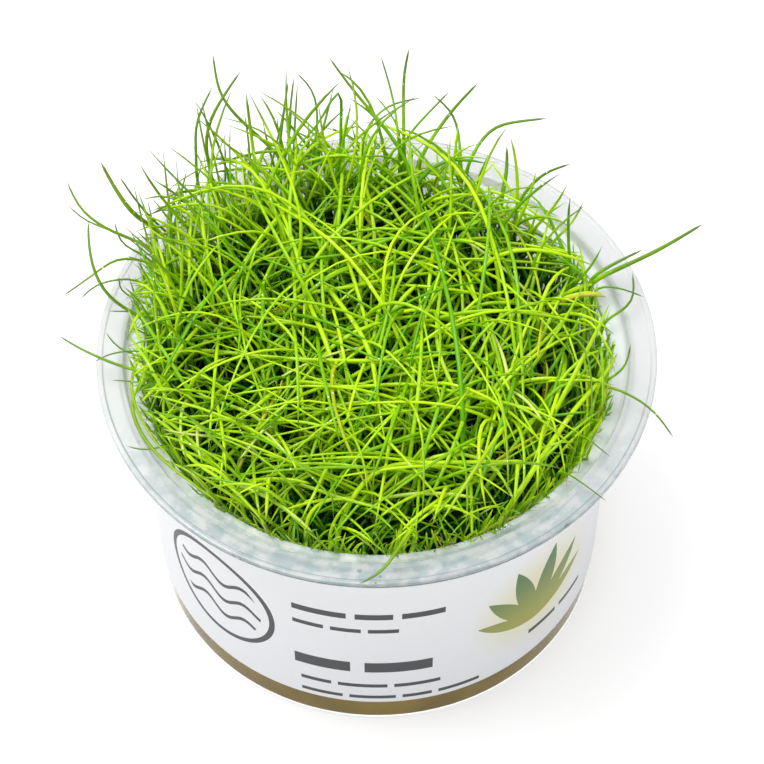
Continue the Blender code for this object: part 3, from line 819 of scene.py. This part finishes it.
def roots_of(dice, site, count, is_edge):
    """Where the blades of a tuft stand: round its crown, or in a band along the wall."""
    wall = wall_radius(GEL_TOP_Z) - WALL
    if is_edge:
        bearing = math.atan2(site.y, site.x) + dice.uniform(-0.5, 0.5, count) * TURN / OUTER_TUFTS
        return on_gel(on_bearing(bearing) * (wall - dice.uniform(*EDGE_BAND, count))[:, None])
    around = dice.uniform(0, TURN, count)
    spread = CROWN_RADIUS * np.sqrt(dice.uniform(0, 1, count))
    roots = np.array(site.xy) + on_bearing(around) * spread[:, None]
    return on_gel(within(roots, wall - ROOT_GAP))


def widths_along(width, along):
    """The width of each blade at each section: narrow at the foot, even, then a short point."""
    point = 1 - (1 - TIP_SHARE) * along**TIP_POWER
    foot = FOOT_SHARE + (1 - FOOT_SHARE) * np.clip(along / FOOT_LENGTH, 0, 1)
    return np.array(width)[:, None] * point * foot


def traits_of(dice, count, pale_share=0, brown_share=0, tints=(0, 1)):
    """For each blade its tint, how pale it is and how brown."""
    low, high = tints
    tint = low + (high - low) * dice.beta(TINT_FOCUS, TINT_FOCUS, count)
    pale = np.where(dice.uniform(0, 1, count) < pale_share, dice.uniform(*PALE_RANGE, count), 0)
    brown = np.where(dice.uniform(0, 1, count) < brown_share, dice.uniform(*BROWN_RANGE, count), 0)
    return np.column_stack([tint, pale, brown])


def blade_count(name, site):
    """How many blades of a kind a tuft has. Tall ones grow at the wild side, edge ones along the wall."""
    wild = wildness(math.atan2(site.y, site.x))
    out = site.length / SHOULDER_RADIUS
    is_outer = math.isclose(site.length, OUTER_RADIUS, rel_tol=0.01)
    shares = {
        "standing": 1 - STANDING_THINNING * wild * out,
        "tall": out * wild**2,
        "edge": (1 - EDGE_THINNING * wild) * is_outer,
    }
    return round(BLADE_KINDS[name][0] * shares.get(name, 1))


def kind_blades(dice, site, name):
    """The blades of one kind of a tuft."""
    tops, reaches, slopes, holds, widths, shares, sections = BLADE_KINDS[name][1:]
    count = blade_count(name, site)
    roots = roots_of(dice, site, count, name == "edge")
    outwards = math.atan2(site.y, site.x)
    out = (site.length / SHOULDER_RADIUS) ** 2
    top = dice.uniform(*tops, count) + CANOPY_DOME * (1 - out)
    top += out * (CANOPY_WILD * wildness(outwards) - BARE_DROP * bareness(outwards))
    heading = dice.uniform(0, TURN, count)
    if name in OUTWARD_FAN:
        aside, spread = OUTWARD_FAN[name]
        heading = outwards + dice.choice([-aside, aside], count) + dice.normal(0, spread, count)
    tips = pick_tips(dice, roots, dice.uniform(*reaches, count), top, heading)
    top = np.minimum(top, ceiling(tips))
    slope = np.radians(dice.uniform(*slopes, count))
    hold = dice.uniform(*holds, count)
    paths = keep_inside(arcs(dice, roots, tips, top, slope, hold, sections))
    along = np.linspace(0, 1, sections)
    widths = widths_along(dice.uniform(*widths, count), along)
    return blade_arrays(paths, widths, along, traits_of(dice, count, *shares))


def evenly(route, shares):
    """Points on a route at shares of its length."""
    run = np.concatenate([[0], np.cumsum(np.linalg.norm(np.diff(route, axis=0), axis=1))])
    return np.column_stack([np.interp(run[-1] * shares, run, route[:, axis]) for axis in range(3)])


def shares_along(sections, end=1):
    """Where a route's sections are, as shares of its length: closer together towards its end."""
    return np.linspace(0, end, sections) ** ROUTE_CROWDING


def smooth_route(points, sections, smoothings=ROUTE_SMOOTHINGS):
    """Points on a smooth curve through the given ones."""
    points = np.array(points, float)
    ends = np.concatenate([[points[0] * 2 - points[1]], points, [points[-1] * 2 - points[-2]]])
    route = []
    for before, start, end, after in zip(ends, ends[1:], ends[2:], ends[3:]):
        bend = 2 * before - 5 * start + 4 * end - after
        twist = 3 * start - before - 3 * end + after
        for t in np.arange(0, 1, ROUTE_STEP):
            route.append((2 * start + (end - before) * t + bend * t**2 + twist * t**3) / 2)
    route = evenly(np.array(route + [points[-1]]), np.linspace(0, 1, ROUTE_POINTS))
    for _ in range(smoothings):
        route[1:-1] = (route[:-2] + 2 * route[1:-1] + route[2:]) / 4
    return evenly(route, shares_along(sections))


def root_of(dice, site):
    aside, ahead = (dice.uniform(-LONG_ROOT_SPREAD, LONG_ROOT_SPREAD) for _ in range(2))
    return (site.x + aside, site.y + ahead, GEL_TOP_Z - ROOT_DEPTH)


def between(site, point, share, z):
    """A point at a height, in plan at a share of the way from a tuft's middle to another point."""
    return (site.x * (1 - share) + point[0] * share, site.y * (1 - share) + point[1] * share, z)


def long_blades(dice, routes, widths, tints, pales=0.0):
    """Blades along routes of points."""
    along = shares_along(STRAY_SECTIONS)
    traits = traits_of(dice, len(routes), tints=tints)
    traits[:, 1] = pales
    return blade_arrays(np.array(routes), widths_along(widths, along), along, traits)


def stray_blades(dice, site, strays):
    """Long blades from a tuft through the points that the photo shows them at."""
    routes = []
    for width, *points in strays:
        x, y, z = within(points[0], MOUTH_RADIUS - STRAY_WALL_GAP)
        at_rim = (x, y, min(z - STRAY_DIP, CUP_HEIGHT - STRAY_RIM_DEPTH))
        low = between(site, at_rim, *STRAY_BEND)
        routes.append(smooth_route([root_of(dice, site), low, at_rim, *points], STRAY_SECTIONS))
    widths = [STRAY_WIDENING * stray[0] for stray in strays]
    return long_blades(dice, routes, widths, STRAY_TINTS)


def mat_blades(dice, site, blades):
    """Long blades from a tuft that lie over the mat."""
    routes = []
    for width, pale, *points in blades:
        first, second = np.array(points[:2], float)
        rising = within(first + MAT_RUN_UP * (first - second) - (0, 0, MAT_DIP), MOUTH_RADIUS - MAT_WALL_GAP)
        way = [root_of(dice, site), between(site, rising, *MAT_BEND), rising, *points]
        routes.append(smooth_route(way, STRAY_SECTIONS, MAT_SMOOTHINGS))
    widths, pales = zip(*(blade[:2] for blade in blades))
    return long_blades(dice, routes, widths, MAT_TINTS, pales)


def runner_blade(dice, site, heart):
    """The runner that a plantlet on the mat grew from."""
    share, depth = RUNNER_BEND
    low = between(site, heart, share, heart[2] - depth)
    under = heart - (0, 0, RUNNER_RISE)
    route = smooth_route([root_of(dice, site), low, under, heart], RUNNER_SECTIONS)
    widths = np.full((1, RUNNER_SECTIONS), RUNNER_WIDTH)
    along = shares_along(RUNNER_SECTIONS, RUNNER_END)
    return blade_arrays(route[None], widths, along, np.array([RUNNER_TRAITS]))


def rosette_blades(dice, heart):
    """Short blades round the heart of a plantlet on the mat."""
    count = ROSETTE_BLADES
    turn = dice.uniform(0, TURN)
    steps = np.arange(count) + dice.uniform(-ROSETTE_JITTER, ROSETTE_JITTER, count)
    heading = turn + steps * TURN / count
    aside, depth = ROSETTE_FOOT
    roots = heart + np.column_stack([aside * on_bearing(heading), np.full(count, -depth)])
    top = heart[2] + dice.uniform(*ROSETTE_TOP, count)
    tips = pick_tips(dice, roots, dice.uniform(*ROSETTE_REACH, count), top, heading)
    last = np.column_stack([tips, top])
    span = tips - roots[:, :2]
    share, height = ROSETTE_START
    second = roots + np.column_stack([share * span, np.full(count, height)])
    third = last - np.column_stack([ROSETTE_END * span, dice.uniform(*ROSETTE_FALL, count)])
    along = np.linspace(0, 1, ROSETTE_SECTIONS)
    paths = keep_inside(curves(roots, second, third, last, along))
    widths = widths_along(dice.uniform(*ROSETTE_WIDTH, count), along)
    return blade_arrays(paths, widths, along, traits_of(dice, count, *ROSETTE_SHARES, ROSETTE_TINTS))


def tuft_places():
    places = []
    for ring_name, count, radius, turn in RINGS:
        for i in range(count):
            name = "tuft_" + ring_name
            if count > 1:
                name += "_%d" % (i + 1)
            places.append((name, polar(radius, TURN * (i + turn) / count, 0)))
    return places


def tuft_batches(dice, name, site, places):
    """The blades of a tuft, with the traced ones and the plantlets that are nearer to it than to others."""

    def is_own(point):
        return min(places, key=lambda place: (place[1].xy - Vector(point[:2])).length)[0] == name

    batches = [kind_blades(dice, site, kind) for kind in BLADE_KINDS if blade_count(kind, site) > 0]
    for build, rows, first_point in ((stray_blades, STRAYS, 1), (mat_blades, MAT_BLADES, 2)):
        own = [row for row in rows if is_own(row[first_point])]
        if own:
            batches.append(build(dice, site, own))
    for heart in filter(is_own, ROSETTES):
        batches.append(runner_blade(dice, site, np.array(heart)))
        batches.append(rosette_blades(dice, np.array(heart)))
    return batches


def build_grass():
    material = grass_material()
    places = tuft_places()
    for number, (name, site) in enumerate(places):
        dice = np.random.default_rng(100 + number)
        mesh = mesh_of_blades(name + "_blades", tuft_batches(dice, name, site, places))
        mesh_object(name + "_blades", mesh, material, [name])


# Cup, label and gel


def turned_mesh(name, profile, segments, is_loop=False):
    """Turns (radius, z) points round the Z axis into a closed mesh."""
    shape = bmesh.new()
    rings = []
    for radius, z in profile:
        count = segments if radius > 0 else 1
        ring = [shape.verts.new(polar(radius, TURN * i / segments, z) * MM) for i in range(count)]
        rings.append(ring * (segments // count))
    pairs = list(zip(rings, rings[1:]))
    if is_loop:
        pairs.append((rings[-1], rings[0]))
    for lower, upper in pairs:
        for i in range(segments):
            following = (i + 1) % segments
            corners = (lower[i], lower[following], upper[following], upper[i])
            shape.faces.new(list(dict.fromkeys(corners)))
    bmesh.ops.recalc_face_normals(shape, faces=shape.faces)
    mesh = bpy.data.meshes.new(name)
    shape.to_mesh(mesh)
    shape.free()
    mesh.shade_smooth()
    mesh.set_sharp_from_angle(angle=SHARPEST_SMOOTH)
    return mesh


def rounded(profile, radius, steps):
    """The profile with each inner corner rounded by up to a radius."""
    points = [Vector(point) for point in profile]
    result = [points[0]]
    for before, corner, after in zip(points, points[1:], points[2:]):
        reach = min(radius, (before - corner).length * SIDE_SHARE, (after - corner).length * SIDE_SHARE)
        start = corner + (before - corner).normalized() * reach
        end = corner + (after - corner).normalized() * reach
        for i in range(steps + 1):
            t = i / steps
            result.append(start * (1 - t) ** 2 + corner * 2 * t * (1 - t) + end * t**2)
    return result + [points[-1]]


def build_cup():
    over_heel = HEEL + BEND
    under_shoulder = SHOULDER_Z - BEND
    bead_inside = FLANGE_RADIUS - BEAD_WIDTH
    flat_z = CUP_HEIGHT - BEAD_HEIGHT
    outline = [
        (0, 0),
        (BASE_RADIUS - HEEL_WIDTH, 0),
        (BASE_RADIUS + HEEL_BULGE, HEEL),
        (wall_radius(over_heel), over_heel),
        (wall_radius(under_shoulder), under_shoulder),
        (SHOULDER_RADIUS, SHOULDER_Z),
        (COLLAR_RADIUS, SEAT_Z - WALL),
        (COLLAR_RADIUS, FLANGE_UNDERSIDE_Z),
        (FLANGE_RADIUS, FLANGE_UNDERSIDE_Z),
        (FLANGE_RADIUS, CUP_HEIGHT),
        (bead_inside, CUP_HEIGHT),
        (bead_inside - BEAD_SLOPE, flat_z),
        (FLANGE_INNER_RADIUS, flat_z),
        (SEAT_RADIUS, SEAT_Z),
        (MOUTH_RADIUS, SEAT_Z),
        (wall_radius(under_shoulder) - WALL, under_shoulder),
        (wall_radius(FLOOR + BEND) - BASE_WALL, FLOOR + BEND),
        (wall_radius(FLOOR) - BASE_WALL, FLOOR),
        (0, FLOOR),
    ]
    mesh = turned_mesh("clear_cup", rounded(outline, CORNER_RADIUS, CORNER_STEPS), CUP_SEGMENTS)
    mesh.materials.append(wall_material())
    for face in mesh.polygons:
        face.material_index = int(face.center.z > SHOULDER_Z * MM)
    mesh_object("clear_cup", mesh, flange_material(), ["cup"])


def build_label():
    low = wall_radius(LABEL_BOTTOM_Z) + LABEL_AIR
    high = wall_radius(LABEL_TOP_Z) + LABEL_AIR
    profile = [
        (low, LABEL_BOTTOM_Z),
        (low + LABEL_THICKNESS, LABEL_BOTTOM_Z),
        (high + LABEL_THICKNESS, LABEL_TOP_Z),
        (high, LABEL_TOP_Z),
    ]
    mesh = turned_mesh("sleeve_label", profile, CUP_SEGMENTS, is_loop=True)
    mesh_object("sleeve_label", mesh, label_material(), ["label"])


def build_gel():
    lowest = FLOOR + GEL_GAP
    low = wall_radius(lowest) - BASE_WALL - GEL_GAP
    high = wall_radius(GEL_TOP_Z) - WALL - GEL_GAP
    fall_width, fall = MENISCUS
    profile = [
        (0, lowest),
        (low - GEL_EDGE, lowest),
        (low, lowest + GEL_EDGE),
        (low + GEL_EDGE_SLOPE, lowest + 2 * GEL_EDGE),
        (high - GEL_EDGE_SLOPE, GEL_TOP_Z - GEL_EDGE),
        (high, GEL_TOP_Z),
        (high - fall_width, GEL_TOP_Z - fall),
    ]
    profile += [(radius, GEL_TOP_Z - depth) for radius, depth in GEL_SURFACE]
    mesh = turned_mesh("gel", profile, CUP_SEGMENTS // 2)
    mesh_object("gel", mesh, gel_material(), ["growth_gel"])


# Studio


def build_world():
    """An even white studio, seen by the camera as plain white."""
    world = bpy.data.worlds.new("studio")
    world.use_nodes = True
    tree = world.node_tree
    backdrop = tree.nodes["Background"]
    backdrop.inputs["Color"].default_value = WHITE
    rays = tree.nodes.new("ShaderNodeLightPath")
    strength = tree.nodes.new("ShaderNodeMapRange")
    strength.inputs["To Min"].default_value = SKY_STRENGTH
    tree.links.new(rays.outputs["Is Camera Ray"], strength.inputs["Value"])
    tree.links.new(strength.outputs[0], backdrop.inputs["Strength"])
    bpy.context.scene.world = world


def build_floor():
    mesh = bpy.data.meshes.new("floor")
    far = FLOOR_HALF_WIDTH
    mesh.from_pydata([(-far, -far, 0), (far, -far, 0), (far, far, 0), (-far, far, 0)], [], [(0, 1, 2, 3)])
    paper = Nodes("floor_white")
    paper.finish(base_color=(FLOOR_WHITE, FLOOR_WHITE, FLOOR_WHITE, 1), roughness=0.9)
    mesh.materials.append(paper.finish(emission_color=WHITE, emission_strength=FLOOR_GLOW))
    floor = new_object("floor", mesh)


def build_key_light():
    light = bpy.data.lights.new("key", "AREA")
    light.size = KEY_SIZE
    light.energy = KEY_POWER
    lamp = new_object("key", light)
    lamp.location = KEY_PLACE
    lamp.rotation_euler = (LOOK_AT * MM - KEY_PLACE).to_track_quat("-Z", "Y").to_euler()


def build_camera():
    lens = bpy.data.cameras.new("camera")
    lens.sensor_width = SENSOR_WIDTH
    lens.lens = FOCAL_PIXELS * SENSOR_WIDTH / IMAGE_SIZE
    lens.clip_start = 0.01
    camera = new_object("camera", lens)
    tilt = Matrix.Rotation(TURN / 4 - CAMERA_ELEVATION, 4, "X")
    roll = Matrix.Rotation(CAMERA_ROLL, 4, "Z")
    back = Matrix.Translation((0, 0, CAMERA_DISTANCE * MM))
    camera.matrix_world = Matrix.Translation(LOOK_AT * MM) @ tilt @ roll @ back
    bpy.context.scene.camera = camera


bpy.context.scene.view_settings.view_transform = "Standard"
build_camera()
build_world()
build_floor()
build_key_light()
build_cup()
build_label()
build_gel()
build_grass()
